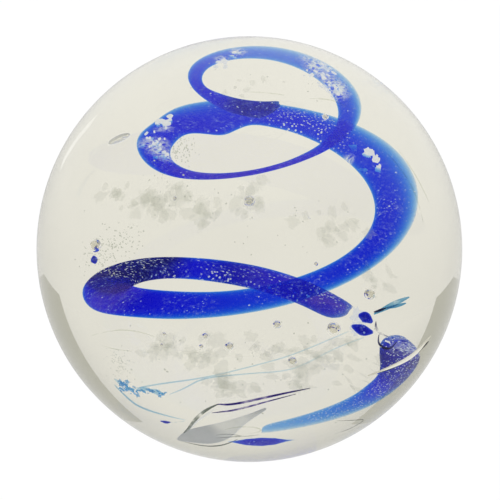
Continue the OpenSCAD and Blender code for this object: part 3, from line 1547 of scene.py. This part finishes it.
# Painted highlight: a cream glowing sliver along the crease's lower flank, where it catches the
# light.
CREASE_PAINTED_HIGHLIGHT = (
    trace(
        0.36,
        (53.8, -76.2, -33.4), (63.3, -69.4, -32.6), (72.6, -60.2, -31.5), (77.2, -55.2, -29.3),
        (81.1, -50.3, -26.6), (83.2, -47.6, -25.0),
    ),
)
CLOUDS = (
    Cluster((-52, -40, 37), (10, 10, 5), 12, 1.3),
    Cluster((-36, -40, 34), (10, 10, 5), 18, 1.5),
    Cluster((-15, -40, 30), (12, 10, 4), 14, 1.4),
    Cluster((0, -32, 34), (10, 10, 5), 10, 1.2),
    Cluster((29, -24, 17), (12, 15, 7), 16, 1.1),
    Cluster((40, -8, -8), (12, 15, 7), 10, 1.0),
    Cluster((-25, -40, -25), (14, 15, 5), 22, 1.3),
    Cluster((5, -35, -25), (15, 15, 5), 14, 1.2),
    Cluster((-7, -40, -38), (16, 15, 5), 18, 1.3),
    Cluster((18, -32, -34), (12, 15, 6), 16, 1.2),
    Cluster((28, -20, -30), (10, 15, 6), 18, 1.3),
    Cluster((35, 0, -42), (14, 15, 8), 14, 1.1),
    Cluster((0, -10, 70), (20, 10, 3), 12, 0.6),
)
FRAYED = (
    Cluster((-48, -38, -43), (3, 2, 3), 22, 0.42),
    Cluster((-45.5, -42, -44), (3, 2, 2), 12, 0.36),
    Cluster((-40, -45.6, -42.5), (5, 1, 1), 12, 0.34),
    Cluster((-33.5, -45.6, -42.8), (2, 1, 1.2), 8, 0.32),
)
SEEDS = (
    Cluster((-43, 20, -9), (5, 5, 5), 110, 0.035),
    Cluster((-37, 20, -5), (6, 5, 5), 90, 0.035),
    Cluster((-21, 15, 27), (5, 5, 5), 110, 0.035),
    Cluster((-27, 20, 20), (5, 5, 5), 50, 0.035),
    Cluster((-48, -30, -33), (5, 5, 6), 90, 0.035),
    Cluster((-25, -35, 33), (30, 20, 12), 24, 0.06),
    Cluster((10, -35, 20), (40, 20, 20), 20, 0.06),
    Cluster((-20, -40, -30), (40, 20, 20), 30, 0.06),
    Cluster((20, -20, -35), (30, 20, 20), 30, 0.06),
    Cluster((20, -10, 70), (30, 10, 6), 10, 0.06),
)
# Painted highlights: the paler spots of the fold's painted reflection.
FOLD_PAINTED_HIGHLIGHTS = (Spot(-0.6, -7.0, -6.9, 1.6, 0.9), Spot(-1.5, -7.0, -6.6, 0.8, 0.6))


# ---- the finishes of this ball

TO_FRONT = -math.pi / 2
COBALT: Colour = (0.0, 0.55, 0.985)
DENSITY = 10000.0
RIBBON_GLASS = ColouredGlass(
    "cobalt_ribbon",
    COBALT,
    DENSITY,
    frost_spots=RIBBON_FROST,
    veil_spots=RIBBON_VEIL,
    haze_spots=RIBBON_HAZE,
    sparkle_spots=RIBBON_SPARKLES,
)
TAIL_GLASS = ColouredGlass(
    "cobalt_tail",
    COBALT,
    0.9 * DENSITY,
    frost_spots=TAIL_FROST,
    veil_spots=TAIL_VEIL,
    haze_spots=(Spot(5.3, 2.0, -4.6, 2.4, 0.07),),
    sparkle_spots=TAIL_SPARKLES,
)
COLOURED = (
    ("blue_ribbon", RIBBON_GLASS, Slot.BLUE),
    ("ribbon_tail", TAIL_GLASS, Slot.BLUE),
    ("ribbon_chips", ColouredGlass("cobalt_dark", (0.0, 0.2, 0.89), 3.0 * DENSITY), Slot.BLUE),
    ("blue_lens", ColouredGlass("cobalt_plain", (0.0, 0.45, 0.96), 1.7 * DENSITY), Slot.BLUE),
    (
        "pale_threads",
        ColouredGlass(
            "pale_glass", (0.15, 0.58, 0.84), 0.9 * DENSITY, speck_share=0.0, milkiness=0.0
        ),
        Slot.PALE,
    ),
)
# The skins below all carry painted glow: glow is the share of their light that is their own.
FROSTED = CloudySkin(
    "frosted_glass", (0.86, 0.89, 0.94), strength=0.95, edge=0.3, soft=0.15, glow=0.75
)
PALE_FRAY = CloudySkin(
    "pale_fray", (0.16, 0.50, 0.86), 0.6, edge=0.85, soft=0.2, glow=0.5, mottle_scale=2600.0
)
SEED_SKIN = CloudySkin(
    "seed_skin", (0.58, 0.60, 0.53), strength=0.6, edge=0.3, soft=0.2, glow=0.95
)
CLOUD_SKIN = CloudySkin(
    "cloudy_skin", (0.60, 0.63, 0.52), 0.085, edge=0.95, soft=0.12, glow=0.4, mottle_scale=3200.0
)
# Painted reflection: the air fold's silvery look, drawn as a glowing grey film with painted
# highlights at its paler spots.
FOLD_PAINTED_REFLECTION = PaintedSheenFilm("fold_painted_reflection", (0.60, 0.63, 0.68), 0.85, 0.5, FOLD_PAINTED_HIGHLIGHTS)
# Painted highlight: a pale glowing film that lightens the long bubble's dark rim.
BUBBLE_PAINTED_HIGHLIGHT = PaintedSheenFilm("bubble_painted_highlight", (0.97, 0.98, 0.96), 0.35, 1.0)
LINES = (
    ("fold_lines", FOLD_LINES, TraceGlass("purple_trace", (0.10, 0.05, 0.40), 0.95)),
    ("grey_lines", GREY_LINES, TraceGlass("grey_trace", (0.34, 0.38, 0.36), 0.9)),
    ("dark_lines", DARK_LINES, TraceGlass("dark_trace", (0.05, 0.06, 0.25), 0.9)),
    ("wisp_lines", WISP_LINES, TraceGlass("teal_trace", (0.25, 0.55, 0.75), 0.9)),
    ("faint_lines", FAINT_LINES, TraceGlass("faint_trace", (0.90, 0.91, 0.87), 0.8)),
    ("white_and_glint_lines", WHITE_AND_GLINT_LINES, PaintedSheenFilm("white_and_glint_sliver", (0.95, 0.97, 1.0), 0.9, 0.6)),
    ("crease_painted_highlight", CREASE_PAINTED_HIGHLIGHT, PaintedSheenFilm("crease_painted_highlight_sliver", (0.93, 0.91, 0.80), 1.0, 0.5)),
)


# ---- main


def make(part: ClearBall | ColouredBody | Film | Flakes | Traces) -> None:
    """Builds a part, dresses it and reports it.

    Args:
        part: the part.
    """
    piece = part.build()
    part.dress(piece)
    LOG.info("%s: %d faces", piece.name, len(piece.data.polygons))


def main() -> None:
    """Builds every piece in order and reports it."""
    logging.basicConfig(level=logging.INFO, format="%(message)s")
    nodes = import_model()["nodes"]
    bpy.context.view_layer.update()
    low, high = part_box(BALL_NODE)
    radius = (high.z - low.z) / 2

    others = [node for name, node in nodes.items() if name != BALL_NODE]
    ball = ClearBall(nodes[BALL_NODE], others, radius)
    make(ball)
    for name, finish, slot in COLOURED:
        make(ColouredBody(nodes[name], finish, slot))

    fold, bubble = sorted(ball.pockets, key=longest, reverse=True)[:2]
    for part in (
        Film("fold_painted_reflection_film", FOLD_PAINTED_REFLECTION, fold),
        Film("bubble_painted_highlight_film", BUBBLE_PAINTED_HIGHLIGHT, bubble),
        Flakes(
            "frosted_chips", FROSTED, FROSTED_CHIPS, radius,
            corners=11, lean=1.2, facing=TO_FRONT, ragged=0.3, seed=3,
        ),
        Flakes(
            "frost_grains", FROSTED, FROST_GRAINS, radius,
            corners=6, thickness_mm=0.08, tilt=1.2, seed=5,
        ),
        Flakes(
            "frayed_glass", PALE_FRAY, FRAYED, radius, facing=TO_FRONT, ragged=0.3, seed=11
        ),
        Flakes("seeds", SEED_SKIN, SEEDS, radius, corners=5, thickness_mm=0.05, tilt=1.2, seed=13),
        *(Traces(name, finish, lines, radius) for name, lines, finish in LINES),
        Flakes("cloudy_flakes", CLOUD_SKIN, CLOUDS, radius),
    ):
        make(part)

    Studio(radius).build()


if __name__ == "__main__":
    main()
